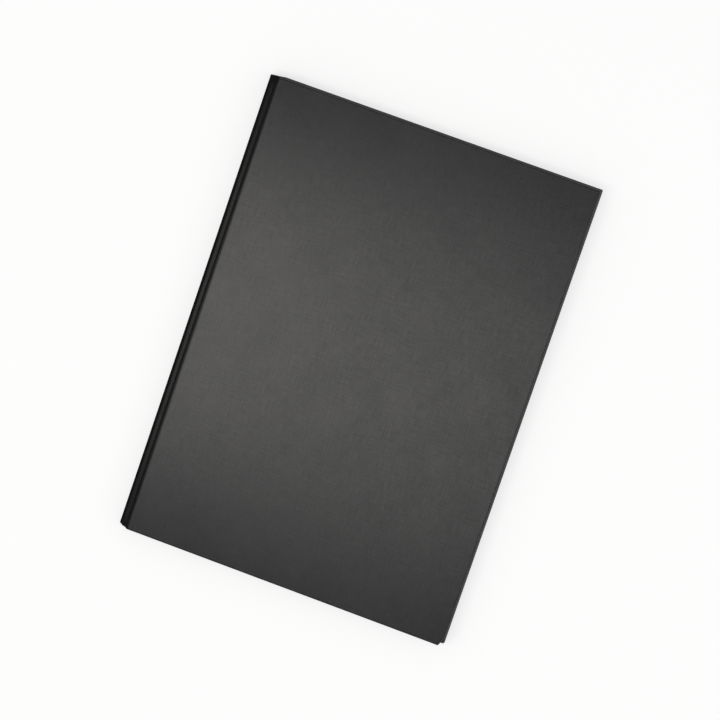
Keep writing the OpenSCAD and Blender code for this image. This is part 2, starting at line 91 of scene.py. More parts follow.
# How much a cloth stops short at head and at tail.
COVER_SHORT = (NIP[1], 0.0)
SPINE_TOP_SHORT = (0.5, 1.3)
SPINE_FOOT_SHORT = (1.3, 0.1)
LINING_SHORT = (0.0, 0.0)
# How far from a hinge line the outer cloth bends, and between which places the inner cloth does.
FRONT_SWING = 3.0
BACK_SWING = 2.0
FRONT_FOOT = (0.75, -1.0)
FRONT_LINING_SWING = ((-0.6, -0.8), (0.6, 0.4))
BACK_LINING_SWING = ((1.05, 0.45), (0.99, 0.57))
# Points across a cover between its joint, the nip, the blunted corner and the fore edge, and along
# it; points round a board's edge, along a curve of the groove and round the fold; and the longest
# step along a section.
COVER_COLUMNS = (6, 41, 5)
COVER_ROWS = 61
EDGE_POINTS = 8
CURVE_POINTS = 20
FOLD_POINTS = 15
SECTION_STEP = 9.0
# A face's normals rise by more than the first of these, and a turn-in's fall by the second or more.
FACE_RISE = 0.8
LAP_FALL = 0.99
# Two sides of a cover that turn by fewer radians than this need no points between them.
SAME_WAY = 0.01

# The pocket, in millimetres.
NOTCH = 14.0
CARD_BOW = 0.8
BOW_POWER = 1.5
CARD_COLUMNS = 22
NOTCH_POINTS = 31
CARD_ROWS = 34
GUSSET_PAPER = 0.18
GUSSET_SLACK = 0.02
GUSSET_INSET = 0.4
FOLD_INSET = 0.1
FOLD_FLAT = 0.001
GUSSET_STEP = 1.5
GUSSET_ROWS = 12

# The pen loop, in millimetres.
ELASTIC = 0.8
LOOP_PINCH = 0.12
LOOP_BEND_POINTS = 19
LOOP_FLAT_POINTS = 7
LOOP_ROWS = 25

# The clip, in millimetres; a solid that is softened is merged within a distance in metres, its
# flat faces are joined and its sharp edges rounded by angles in degrees.
WIRE = 0.9
COIL = 2.15
COIL_LENGTH = 7.7
COIL_TURNS = 5.5
SPRING_LEG = 8.0
LOWER_LEG = -2.5
UPPER_LEG = 2.25
COIL_POINTS = 133
LEG_POINTS = 8
WIRE_POINTS = 13
MERGED = 1e-6
FLAT_ANGLE = 1
SHARP_ANGLE = 50
ROUND_STEPS = 3


def hinge_place(name):
    """The place of a hinge, in millimetres."""
    joint = next(j for j in frame["joints"] if j["name"] == name)
    return np.array(joint["pos_m"]) / MM


def corners_of(node):
    """The lowest and the highest corner of a solid, in millimetres."""
    low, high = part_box(node)
    return np.array(low) / MM, np.array(high) / MM


back_axis = hinge_place("spine_hinge")[[0, 2]]
front_axis = hinge_place("front_hinge")[[0, 2]]
spine_run = front_axis - back_axis
spine_length = float(np.hypot(*spine_run))
spine_up = spine_run / spine_length
spine_in = np.array([spine_up[1], -spine_up[0]])


def on_spine(along, depth):
    """A place on the spine: up from the back hinge line, then inwards."""
    return back_axis + along * spine_up + depth * spine_in


# Paths and profiles


def rounded(corners, radii, steps=9):
    """A path through corners, in which an arc that touches both sides rounds each inner corner."""
    run = [corners[0][None]]
    for before, corner, after, radius in zip(corners, corners[1:], corners[2:], radii):
        back = (before - corner) / np.linalg.norm(before - corner)
        on = (after - corner) / np.linalg.norm(after - corner)
        half = math.acos(back @ on) / 2
        centre = corner + (back + on) / np.linalg.norm(back + on) * radius / math.sin(half)
        first = corner + back * radius / math.tan(half) - centre
        last = corner + on * radius / math.tan(half) - centre
        sweep = math.pi - 2 * half
        share = np.linspace(0, 1, steps)[:, None]
        spokes = np.sin((1 - share) * sweep) * first + np.sin(share * sweep) * last
        run.append(centre + spokes / math.sin(sweep))
    run.append(corners[-1][None])
    return np.concatenate(run)


def cubic(a, b, c, d, steps):
    """Points of a cubic curve from a to d that leaves towards b and arrives from c."""
    t = np.linspace(0, 1, steps)[:, None]
    return (1 - t) ** 3 * a + 3 * (1 - t) ** 2 * t * b + 3 * (1 - t) * t**2 * c + t**3 * d


def reach_along(path):
    """The length of a path up to each of its points."""
    steps = np.linalg.norm(np.diff(path, axis=0), axis=1)
    return np.concatenate([[0], np.cumsum(steps)])


def filled(path, step):
    """The same path, with points added where two are further apart than a step."""
    reach = reach_along(path)
    path = path[np.concatenate([[True], np.diff(reach) > SAME])]
    reach = reach_along(path)
    at = np.union1d(reach, np.arange(0, reach[-1], step))
    at = at[np.concatenate([[True], np.diff(at) > SAME])]
    return np.stack([np.interp(at, reach, path[:, k]) for k in range(path.shape[1])], -1)


def right_of(path):
    """Unit normals to the right of a path, from the mean of the two steps at each point."""
    step = np.diff(path, axis=0)
    step /= np.linalg.norm(step, axis=1, keepdims=True)
    way = np.concatenate([step[:1], step[:-1] + step[1:], step[-1:]])
    way /= np.linalg.norm(way, axis=1, keepdims=True)
    return np.stack([way[:, 1], -way[:, 0]], -1)


def turned_in(half, depth, bend, lap):
    """
    Section of a cloth along Y that is turned in at head and tail: rows of (y, depth below the
    outer face), from one lap's edge, round a board of that depth, to the other lap's edge.
    """
    tail = rounded(
        np.array([[lap - half, depth], [-half, depth], [-half, 0.0], [0.0, 0.0]]), [bend, bend]
    )
    return np.concatenate([tail, tail[-2::-1] * [-1, 1]])


# Meshes


def grid_quads(rows, columns):
    """The quads of a grid of points that is counted row by row."""
    first = (np.arange(rows - 1)[:, None] * columns + np.arange(columns - 1)).ravel()
    return np.stack([first, first + 1, first + columns + 1, first + columns], -1)


def joined(*patches):
    """Patches of (points, uv, quads) as one, where points within a micrometre are the same point."""
    counts = np.cumsum([0] + [len(points) for points, _, _ in patches])
    points = np.concatenate([p for p, _, _ in patches])
    uv = np.concatenate([u for _, u, _ in patches])
    quads = np.concatenate([q + n for (_, _, q), n in zip(patches, counts)])
    _, first, place = np.unique(
        np.round(points * MICROMETRES).astype(int), axis=0, return_index=True, return_inverse=True
    )
    return points[first], uv[first], place.ravel()[quads]


def patch(points, uv):
    """A grid of points with its UV as a patch."""
    rows, columns = points.shape[:2]
    return points.reshape(-1, 3), uv.reshape(-1, 2), grid_quads(rows, columns)


def thickened(points, uv, quads, thickness):
    """
    A sheet from its middle surface: both faces lie half the thickness away along the mean normal
    of the quads round a point, and a rim of quads joins them along the open edges.
    """
    corner = points[quads]
    facing = np.cross(corner[:, 2] - corner[:, 0], corner[:, 3] - corner[:, 1])
    normal = np.zeros_like(points)
    for k in range(4):
        np.add.at(normal, quads[:, k], facing)
    normal *= thickness / 2 / np.linalg.norm(normal, axis=1, keepdims=True)
    edges = np.concatenate([quads[:, [k, (k + 1) % 4]] for k in range(4)])
    edges = edges[edges[:, 0] != edges[:, 1]]
    _, place, uses = np.unique(
        np.sort(edges, axis=1), axis=0, return_inverse=True, return_counts=True
    )
    rim = edges[uses[place.ravel()] == 1]
    count = len(points)
    walls = np.stack([rim[:, 1], rim[:, 0], rim[:, 0] + count, rim[:, 1] + count], -1)
    faces = np.concatenate([quads, quads[:, ::-1] + count, walls])
    return np.concatenate([points + normal, points - normal]), np.concatenate([uv, uv]), faces


def made(name, points, uv, quads, material, slot):
    """
    A piece from points and UV in millimetres. A quad with a repeated corner becomes a triangle.
    """
    same = quads == np.roll(quads, -1, axis=1)
    whole = quads[~same.any(axis=1)]
    cut = same.sum(axis=1) == 1
    triangles = quads[cut][~same[cut]].reshape(-1, 3)
    mesh = bpy.data.meshes.new(name)
    mesh.from_pydata((points * MM).tolist(), [], whole.tolist() + triangles.tolist())
    corner = np.empty(len(mesh.loops), int)
    mesh.loops.foreach_get("vertex_index", corner)
    layer = mesh.uv_layers.new(name="cut")
    layer.data.foreach_set("uv", (uv[corner] * MM).ravel())
    return placed(name, mesh, material)


def rise_of_faces(piece):
    """The upward part of each face's normal."""
    faces = piece.data.polygons
    normal = np.empty(len(faces) * 3)
    faces.foreach_get("normal", normal)
    return normal.reshape(-1, 3)[:, 2]


def place_on_cut(piece):
    """Where the first corner of each face lies on the flat cut, in millimetres."""
    mesh = piece.data
    first = np.empty(len(mesh.polygons), np.int32)
    mesh.polygons.foreach_get("loop_start", first)
    corner = np.empty(len(mesh.loops) * 2)
    mesh.uv_layers["cut"].data.foreach_get("uv", corner)
    return corner.reshape(-1, 2)[first] / MM


def finished_where(piece, material, chosen):
    """Gives another finish to the chosen faces."""
    mesh = piece.data
    index = np.empty(len(mesh.polygons), np.int32)
    mesh.polygons.foreach_get("material_index", index)
    index[chosen] = len(mesh.materials)
    mesh.materials.append(material)
    mesh.polygons.foreach_set("material_index", index)


def placed(name, mesh, material):
    """Puts a mesh in the scene with its finish, smooth but for its creases."""
    mesh.shade_smooth()
    mesh.set_sharp_from_angle(angle=math.radians(CREASE))
    mesh.materials.clear()
    mesh.materials.append(material)
    piece = bpy.data.objects.new(name, mesh)
    bpy.context.scene.collection.objects.link(piece)
    return piece


def strip(path, section, step, short):
    """
    A strip of cloth carried along a path in X and Z. The section gives y and how far the cloth lies
    inside the path, so a point is the path's, less the depth along the path's right-hand normal.
    short gives how much the strip stops short at head and tail, at both ends of the path.
    """
    path = filled(path, step)
    section = filled(section, SECTION_STEP)
    side = right_of(path)
    points = np.empty((len(path), len(section), 3))
    points[..., 0] = path[:, :1] - side[:, :1] * section[:, 1]
    share = (path[:, :1] - path[0, 0]) / (path[-1, 0] - path[0, 0])
    head, tail = (a + np.clip(share, 0, 1) * (b - a) for a, b in zip(*short))
    y = section[:, 0]
    points[..., 1] = y * (1 - np.where(y > 0, head, tail) / y.max())
    points[..., 2] = path[:, 1:] - side[:, 1:] * section[:, 1]
    u, v = reach_along(path), reach_along(section)
    uv = np.stack(np.meshgrid(u, v - v[-1] / 2, indexing="ij"), -1)
    return patch(points, uv), (u[-1], v[-1])


# Shader nodes

# Soft noise seldom leaves the middle of its range, so it is stretched from here.
NOISE = {"From Min": 0.3, "From Max": 0.7}


def linear(colour):
    """An sRGB hex colour as linear red, green, blue and alpha."""
    part = [int(colour[k : k + 2], 16) / 255 for k in (1, 3, 5)]
    return [c / 12.92 if c <= 0.04045 else ((c + 0.055) / 1.055) ** 2.4 for c in part] + [1.0]


def node(tree, kind, inputs=None, **settings):
    """
    Adds a shader node: its settings, then for each input a value, the socket that feeds it, or a
    node whose first output does.
    """
    added = tree.nodes.new("ShaderNode" + kind)
    for name, value in settings.items():
        setattr(added, name, value)
    for key, value in (inputs or {}).items():
        source = value.outputs[0] if isinstance(value, bpy.types.Node) else value
        if isinstance(source, bpy.types.NodeSocket):
            tree.links.new(source, added.inputs[key])
        else:
            added.inputs[key].default_value = source
    return added


def blank(name):
    """A new material without nodes, and its node tree."""
    material = bpy.data.materials.new(name)
    material.use_nodes = True
    material.node_tree.nodes.clear()
    return material, material.node_tree


def cells(*size_mm):
    """The scale at which a cell of noise has this size along X, Y and Z."""
    return [1 / (size * MM) for size in size_mm]


def crossed_streaks(tree, where, long_mm, thin_mm, detail):
    """Streaks along X and along Y, added up: noise in cells of that length and thickness."""
    streaks = []
    for size in ((long_mm, thin_mm, thin_mm), (thin_mm, long_mm, thin_mm)):
        place = node(tree, "Mapping", {"Vector": where, "Scale": cells(*size)})
        streaks.append(node(tree, "TexNoise", {"Vector": place, "Scale": 1.0, "Detail": detail}))
    return node(tree, "Math", dict(enumerate(streaks)), operation="ADD")


def surfaced(material, shade, colours, rough, height, strength, depth_mm, **constants):
    """
    Ends a finish: its shade goes from the dark to the light colour, and a height pattern of a real
    depth tips its normals. Constants are set on the shader's own sockets. Of a Mix node's sockets,
    inputs 6 and 7 and output 2 are those for colours.
    """
    tree = material.node_tree
    dark, light = (linear(colour) for colour in colours)
    tint = node(tree, "Mix", {0: shade, 6: dark, 7: light}, data_type="RGBA")
    bump = node(tree, "Bump", {"Height": height, "Strength": strength, "Distance": depth_mm * MM})
    inputs = {"Base Color": tint.outputs[2], "Roughness": rough, "Normal": bump}
    inputs.update((key.replace("_", " "), value) for key, value in constants.items())
    shader = node(tree, "BsdfPrincipled", inputs)
    node(tree, "OutputMaterial", {"Surface": shader})
    return material


# Finishes


def woven_cloth(name, colours, rough, specular=0.0, grain=0.1, thread_mm=0.9, slub_mm=11.0):
    """
    Starched linen bookcloth, plain woven: round threads cross one over one, some swell into slubs,
    and calendering leaves a broad satin lustre that is a little cloudy and fades from the joint
    towards the fore edge. It is dulled in the crease by the joint, and where the cloth is seen low,
    because raised threads then hide the polished ones. A real thread of 0.4 mm would be lost in the
    render, so the weave is drawn at the coarser thread_mm.
    """
    material, tree = blank(name)
    cut = node(tree, "UVMap", uv_map="cut")
    axes = node(tree, "SeparateXYZ", {0: cut})
    from_joint, along_joint = axes.outputs[0], axes.outputs[1]
    threads = []
    for axis in (from_joint, along_joint):
        turn = {0: axis, 1: math.pi / (thread_mm * MM)}
        wave = node(tree, "Math", turn, operation="MULTIPLY")
        threads.append(node(tree, "Math", {0: wave}, operation="SINE"))
    crossing = node(tree, "Math", dict(enumerate(threads)), operation="MULTIPLY")
    streaks = crossed_streaks(tree, cut, slub_mm, thread_mm, detail=2.0)
    slubs = node(tree, "MapRange", {"Value": streaks, "From Min": 0.6, "From Max": 1.4})
    patches = node(tree, "Mapping", {"Vector": cut, "Scale": cells(30.0, 36.0, 1.0)})
    cloud = node(tree, "TexNoise", {"Vector": patches, "Scale": 1.0, "Detail": 3.0})
    shade = node(tree, "MapRange", {"Value": cloud, **NOISE, "To Max": 0.2})
    # The weave's crossings also tint the colour by their height, by the share grain: painted shade
    # and highlight of the threads' relief.
    for pattern, share in ((slubs, 0.8), (crossing, grain)):
        shade = node(tree, "Math", {0: pattern, 1: share, 2: shade}, operation="MULTIPLY_ADD")
    low_view = node(tree, "LayerWeight").outputs["Facing"]
    # Each row adds to the roughness: its cause, from where to where, and how much at both.
    dulling = rough
    for cause, start, end, at_start, at_end in (
        (from_joint, 20 * MM, 130 * MM, 0.0, 0.04),
        (from_joint, 0.0, 1.5 * MM, 0.05, 0.0),
        (cloud, 0.3, 0.7, -0.02, 0.02),
        (slubs, 0.0, 1.0, 0.03, -0.03),
        (low_view, 0.35, 0.75, 0.0, 0.4),
    ):
        span = {"From Min": start, "From Max": end, "To Min": at_start, "To Max": at_end}
        part = node(tree, "MapRange", {"Value": cause, **span})
        dulling = node(tree, "Math", {0: part, 1: dulling}, operation="ADD")
    height = node(tree, "Math", {0: crossing, 1: 0.3, 2: slubs}, operation="MULTIPLY_ADD")
    return surfaced(
        material, shade, colours, dulling, height,
        strength=0.5, depth_mm=0.03, Specular_IOR_Level=specular,
    )


def lining_paper(name, colours):
    """
    Dyed lining paper, calendered: near black, crossed by faint fibres, a dull even shine. Real
    fibres would be lost in the render, so they are drawn 1.2 mm wide.
    """
    material, tree = blank(name)
    where = node(tree, "TexCoord").outputs["Object"]
    fibre = crossed_streaks(tree, where, 9.0, 1.2, detail=3.0)
    drawn = {"Value": fibre, "From Min": 0.75, "From Max": 1.25}
    cloud = node(tree, "TexNoise", {"Vector": where, "Scale": 1 / (30.0 * MM)})
    clouded = node(tree, "MapRange", {"Value": cloud, **NOISE, "To Min": 0.7})
    shade = node(
        tree, "Math", {0: node(tree, "MapRange", drawn), 1: clouded}, operation="MULTIPLY"
    )
    rough = node(tree, "MapRange", {**drawn, "To Min": 0.62, "To Max": 0.5})
    return surfaced(
        material, shade, colours, rough, fibre,
        strength=0.25, depth_mm=0.05, Specular_IOR_Level=0.35,
    )


def greyboard():
    """Board rolled from waste paper and dyed dark: grey with pale and dark flecks, fully matt."""
    material, tree = blank("dyed_greyboard")
    where = node(tree, "TexCoord").outputs["Object"]
    place = node(tree, "Mapping", {"Vector": where, "Scale": cells(0.9, 0.9, 0.5)})
    fleck = node(tree, "TexNoise", {"Vector": place, "Scale": 1.0, "Detail": 5.0})
    place = node(tree, "Mapping", {"Vector": where, "Scale": cells(14.0, 14.0, 0.35)})
    layer = node(tree, "TexNoise", {"Vector": place, "Scale": 1.0})
    flecked = node(tree, "MapRange", {"Value": fleck, **NOISE, "To Min": 0.2})
    layered = node(tree, "MapRange", {"Value": layer, **NOISE, "To Min": 0.6})
    shade = node(tree, "Math", {0: flecked, 1: layered}, operation="MULTIPLY")
    rough = node(tree, "MapRange", {"Value": fleck, **NOISE, "To Min": 0.85, "To Max": 0.95})
    return surfaced(
        material, shade, ("#2C2A28", "#45423E"), rough, fleck,
        strength=0.4, depth_mm=0.06, Specular_IOR_Level=0.2,
    )


def satin_nickel():
    """Nickel plating on brushed sheet steel: warm white metal, fine lines, soft reflections."""
    material, tree = blank("satin_nickel_plating")
    where = node(tree, "TexCoord").outputs["Object"]
    place = node(tree, "Mapping", {"Vector": where, "Scale": cells(18.0, 0.25, 0.25)})
    lines = node(tree, "TexNoise", {"Vector": place, "Scale": 1.0, "Detail": 3.0})
    place = node(tree, "Mapping", {"Vector": where, "Scale": cells(9.0, 7.0, 7.0)})
    cloud = node(tree, "TexNoise", {"Vector": place, "Scale": 1.0})
    brushed = node(tree, "MapRange", {"Value": lines, **NOISE, "To Min": 0.24, "To Max": 0.3})
    clouded = node(tree, "MapRange", {"Value": cloud, **NOISE, "To Max": 0.03})
    rough = node(tree, "Math", {0: brushed, 1: clouded}, operation="ADD")
    return surfaced(
        material, cloud, ("#B4B1AA", "#C6C3BC"), rough, lines,
        strength=0.05, depth_mm=0.01, Metallic=1.0,
    )


def spring_wire():
    """Drawn spring wire, oiled: darker steel with die lines along the wire."""
    material, tree = blank("drawn_spring_wire")
    cut = node(tree, "UVMap", uv_map="cut")
    place = node(tree, "Mapping", {"Vector": cut, "Scale": cells(5.0, 0.16, 1.0)})
    lines = node(tree, "TexNoise", {"Vector": place, "Scale": 1.0})
    rough = node(tree, "MapRange", {"Value": lines, **NOISE, "To Min": 0.22, "To Max": 0.36})
    return surfaced(
        material, lines, ("#77757A", "#9B9995"), rough, lines,
        strength=0.2, depth_mm=0.015, Metallic=1.0,
    )


def moulded_rubber():
    """Moulded black rubber: matt, with the fine spark grain of its mould."""
    material, tree = blank("moulded_rubber")
    where = node(tree, "TexCoord").outputs["Object"]
    grain = node(tree, "TexNoise", {"Vector": where, "Scale": 1 / (0.35 * MM)})
    bloom = node(tree, "TexNoise", {"Vector": where, "Scale": 1 / (4.0 * MM)})
    rough = node(tree, "MapRange", {"Value": grain, **NOISE, "To Min": 0.55, "To Max": 0.72})
    return surfaced(
        material, bloom, ("#161616", "#232322"), rough, grain,
        strength=0.3, depth_mm=0.03, Specular_IOR_Level=0.4,
    )


def woven_elastic():
    """Woven elastic: covered rubber cords side by side, 1.1 mm apart, crossed by weft at 0.7 mm."""
    material, tree = blank("woven_elastic")
    cut = node(tree, "UVMap", uv_map="cut")
    axes = node(tree, "SeparateXYZ", {0: cut})
    waves = []
    for axis, spacing_mm in ((1, 1.1), (0, 0.7)):
        turn = {0: axes.outputs[axis], 1: 2 * math.pi / (spacing_mm * MM)}
        wave = node(tree, "Math", turn, operation="MULTIPLY")
        waves.append(node(tree, "Math", {0: wave}, operation="SINE"))
    cord, weft = waves
    height = node(tree, "Math", {0: weft, 1: 0.25, 2: cord}, operation="MULTIPLY_ADD")
    fuzz = node(tree, "TexNoise", {"Vector": cut, "Scale": 1 / (0.5 * MM), "Detail": 3.0})
    # The cords' colour follows their height: painted shade in the valleys between cords and painted
    # highlight on their crests.
    painted_cord_shade = node(tree, "MapRange", {"Value": height, "From Min": -1.0, "To Min": 0.2})
    fuzzy = node(tree, "MapRange", {"Value": fuzz, **NOISE, "To Min": 0.6})
    shade = node(tree, "Math", {0: painted_cord_shade, 1: fuzzy}, operation="MULTIPLY")
    rough = node(tree, "MapRange", {"Value": fuzz, **NOISE, "To Min": 0.6, "To Max": 0.8})
    return surfaced(
        material, shade, ("#131314", "#2B2B2C"), rough, height,
        strength=0.5, depth_mm=0.12, Specular_IOR_Level=0.3,
    )


# Bending breaks the calendered shine, so the same cloth is dull over the joints and the spine and
# where it is turned in. It keeps some shine on the ridge that was pressed beside the groove. The
# turn-ins are painted lighter and the boards' edges paler still: painted light, on the rims and in
# the shade under the front cover.
binding_cloth = woven_cloth(
    "linen_bookcloth", ("#1B1B1C", "#343436"), rough=0.2, specular=0.32, grain=0.12
)
bent_cloth = woven_cloth("linen_bookcloth_dulled_by_bending", ("#1D1D1D", "#2A2A2A"), rough=0.6)
ridge_cloth = woven_cloth(
    "linen_bookcloth_pressed_ridge", ("#0F0F0F", "#1B1B1B"), rough=0.22, specular=0.12
)
# Painted light: the turn-ins are painted lighter than the cloth, to lift the shade under the front
# cover.
painted_light_turned_cloth = woven_cloth("linen_bookcloth_turned_in_painted_light", ("#424242", "#545454"), rough=0.6)
# Painted light: the rims round the boards' edges are painted pale, as light on the edges.
painted_light_edge_cloth = woven_cloth("linen_bookcloth_edge_painted_light", ("#666666", "#7C7C7C"), rough=0.6)
hinge_cloth = woven_cloth(
    "fine_hinge_cloth",
    ("#1E1E1F", "#29292A"),
    rough=0.5,
    specular=0.2,
    thread_mm=0.7,
    slub_mm=7.0,
)
paper = lining_paper("dyed_lining_paper", ("#222224", "#404042"))
card = lining_paper("dyed_pocket_card", ("#2E2E30", "#4C4C4E"))
board = greyboard()
nickel = satin_nickel()
wire = spring_wire()
rubber = moulded_rubber()
elastic = woven_elastic()

for name, finish in {
    "back_board": board,
    "front_board": board,
    "spine_board": board,
    "back_filler": board,
    "front_filler": board,
    "back_lining": paper,
    "front_lining": paper,
    "rivet_washers": nickel,
}.items():
    mesh = frame["nodes"][name].data
    mesh.materials.clear()
    mesh.materials.append(finish)


# Cover cloths


def cover_cloth(node_name, face_up, corner):
    """
    The cloth of one cover: a flat face, a rim carried round tail, fore edge and head, and a mitred
    turn-in. A rim point is the face's outline moved outwards by the rest of the edge's bend, at the
    height of that bend. The outline's corner between tail and fore edge is blunted, and the one
    between head and joint is drawn in. The UV unrolls it all.
    """
    low, high = corners_of(node_name)
    x0, x1 = low[0], high[0] - CLOTH / 2
    y0, y1 = low[1] + CLOTH / 2, high[1] - CLOTH / 2
    face_z, lap_z = high[2] - CLOTH / 2, low[2] + CLOTH / 2
    if not face_up:
        face_z, lap_z = lap_z, face_z
    down = 1 if face_up else -1
    outline = np.array(
        [
            [x0, y0],
            [x1 - corner[0], y0],
            [x1, y0 + corner[1]],
            [x1, y1],
            [x0 + NIP[0], y1],
            [x0, y1 - NIP[1]],
        ]
    )
    edge = np.diff(outline, axis=0)
    edge /= np.linalg.norm(edge, axis=1, keepdims=True)
    out = np.stack([edge[:, 1], -edge[:, 0]], -1)
    inset = outline.copy()
    inset[1:-1] -= BOARD_EDGE * (out[:-1] + out[1:]) / (
        1 + np.sum(out[:-1] * out[1:], axis=1, keepdims=True)
    )
    inset[0, 1] += BOARD_EDGE
    inset[-1, 1] -= BOARD_EDGE / out[-1, 1]
    lap_x, lap_y = x1 - TURN_IN, TURN_IN
    lap = np.array(
        [
            [x0, y0 + lap_y],
            [lap_x, y0 + lap_y],
            [lap_x, y0 + lap_y],
            [lap_x, y1 - lap_y],
            [x0 + NIP[0], y1 - lap_y],
            [x0, y1 - lap_y],
        ]
    )
    stops = inset[[0, 4, 1, 2], 0]
    columns = np.concatenate(
        [np.linspace(a, b, n)[:-1] for a, b, n in zip(stops, stops[1:], COVER_COLUMNS)]
        + [stops[-1:] - FLAT_EDGE, stops[-1:]]
    )
    nipped, blunted = columns <= stops[1], columns >= stops[2]
    close = FLAT_EDGE / (y1 - y0)
    rows = np.concatenate([[0.0], np.linspace(close, 1 - close, COVER_ROWS), [1.0]])
    foot = np.interp(columns, inset[:3, 0], inset[:3, 1])
    top = np.interp(columns, inset[:2:-1, 0], inset[:2:-1, 1])
    face = np.empty((len(rows), len(columns), 3))
    face[..., 0] = columns
    face[..., 1] = foot + rows[:, None] * (top - foot)
    face[..., 2] = face_z
    face_uv = face[..., :2] - [x0, 0]

    sides = (
        columns[~blunted | (columns == stops[2])],
        columns[blunted],
        None,
        columns[~nipped | (columns == stops[1])][::-1],
        columns[nipped][::-1],
    )
    first, share, way = [], [], []
    for k, side in enumerate(sides):
        along = rows if side is None else (side - inset[k, 0]) / (inset[k + 1, 0] - inset[k, 0])
        first.append(np.full(len(along), k))
        share.append(along)
        way.append(np.repeat(out[k : k + 1], len(along), axis=0))
        swing = math.acos(min(out[k] @ out[min(k + 1, len(out) - 1)], 1.0))
        if swing > SAME_WAY:
            turn = np.linspace(0, 1, EDGE_POINTS)[1:-1, None]
            fan = np.sin((1 - turn) * swing) * out[k] + np.sin(turn * swing) * out[k + 1]
            first.append(np.full(len(fan), k + 1))
            share.append(np.zeros(len(fan)))
            way.append(fan / math.sin(swing))
    first, share, way = (np.concatenate(part) for part in (first, share, way))
    base = inset[first] + share[:, None] * (inset[first + 1] - inset[first])
    inner = lap[first] + share[:, None] * (lap[first + 1] - lap[first])

    bend = np.linspace(0, math.pi / 2, EDGE_POINTS)
    reach = np.concatenate([BOARD_EDGE * np.sin(bend), BOARD_EDGE * np.cos(bend)])
    depth = abs(face_z - lap_z)
    drop = np.concatenate(
        [BOARD_EDGE * (1 - np.cos(bend)), depth - BOARD_EDGE * (1 - np.sin(bend))]
    )
    on_lap = np.array([0.5, 1.0])
    rim = np.empty((len(base), len(reach) + len(on_lap), 3))
    rim[:, :-2, :2] = base[:, None] + way[:, None] * reach[:, None]
    rim[:, :-2, 2] = face_z - down * drop
    rim[:, -2:, :2] = base[:, None] + on_lap[:, None] * (inner - base)[:, None]
    rim[:, -2:, 2] = lap_z
    unrolled = reach_along(np.stack([reach, drop], -1))
    unrolled = np.concatenate([unrolled, unrolled[-1] + TURN_IN * on_lap])
    rim_uv = base[:, None] - [x0, 0] + way[:, None] * unrolled[:, None]

    points, uv, quads = joined(patch(face, face_uv), patch(rim, rim_uv))
    if not face_up:
        quads = quads[:, ::-1]
    width = x1 - x0 + depth + TURN_IN
    length = y1 - y0 + 2 * (depth + TURN_IN)
    return thickened(points, uv, quads, CLOTH), (width * MM, length * MM)


for name, node_name, body, face_up, corner in (
    ("front_cover_cloth", "front_cloth", "front_cover", True, FRONT_CORNER),
    ("back_cover_cloth", "back_cloth", "back_cover", False, BACK_CORNER),
):
    shape, cut = cover_cloth(node_name, face_up, corner)
    piece = made(name, *shape, binding_cloth, "binding_cloth")
    outward = rise_of_faces(piece) * (1 if face_up else -1)
    # The turn-ins get the cloth that is painted lighter: painted light in the shade under the covers.
    finished_where(piece, painted_light_turned_cloth, outward <= -LAP_FALL)
    # The rims get the pale cloth: painted light on the edges.
    finished_where(piece, painted_light_edge_cloth, (outward > -LAP_FALL) & (outward <= FACE_RISE))
    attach(piece, body)
    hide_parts(node_name)


# Joint and spine cloths, each from the front cover towards the back cover

half_height = corners_of("back_cloth")[1][1] - CLOTH / 2
inner_half = corners_of("front_joint_lining")[1][1]
front_joint_x = front_axis[0] + FRONT_JOINT
back_joint_x = back_axis[0] + BACK_JOINT
flap = turned_in(half_height, CLOTH + GLUE, (CLOTH + GLUE) / 2, TURN_IN)
spine_flap = turned_in(half_height, CLOTH + SPINE_BOARD, BOARD_EDGE, TURN_IN)
plain = np.array([[-inner_half, 0.0], [inner_half, 0.0]])


def groove_path():
    """Two cubic curves: from the front board down into the groove, then over on to the spine."""
    start = front_axis + [FRONT_JOINT, 0]
    lead = start - [COVER_LEAD, 0]
    board_foot = corners_of("front_board")[0][2]
    groove = np.array([front_axis[0] + GROOVE_X, board_foot + GLUE + CLOTH / 2])
    end = on_spine(spine_length - SPINE_GAP, 0)
    end_lead = end + SPINE_LEAD * spine_up
    wall = np.array([GROOVE_PULL * (lead[0] - groove[0]), 0])
    crest = np.array([GROOVE_PULL * (groove[0] - end_lead[0]), 0])
    shoulder = GROOVE_PULL * SPINE_GAP / 2 * spine_up
    return np.concatenate(
        [
            start[None],
            cubic(lead, lead - wall, groove + wall, groove, CURVE_POINTS),
            cubic(groove, groove - crest, end_lead + shoulder, end_lead, CURVE_POINTS)[1:],
            end[None],
        ]
    )


def fold_path():
    """Straight down from the spine board, round the bend at the table, and on to the back board."""
    return rounded(
        np.array([on_spine(SPINE_GAP, 0), back_axis, [back_joint_x, back_axis[1]]]),
        [BEND],
        FOLD_POINTS,
    )


def front_hinge_path():
    """Flat under the front board, then round one soft corner and on to the spine board."""
    lap_z = corners_of("front_joint_lining")[1][2] - CLOTH / 2
    depth = CLOTH + SPINE_BOARD + GLUE
    inner = front_axis + depth * spine_in
    corner = inner - (inner[1] - lap_z) / spine_up[1] * spine_up
    return rounded(
        np.array(
            [
                [front_joint_x + HINGE_LAP, lap_z],
                corner,
                on_spine(spine_length - SPINE_GAP - SPINE_LAP, depth),
            ]
        ),
        [FOOT_BEND],
    )


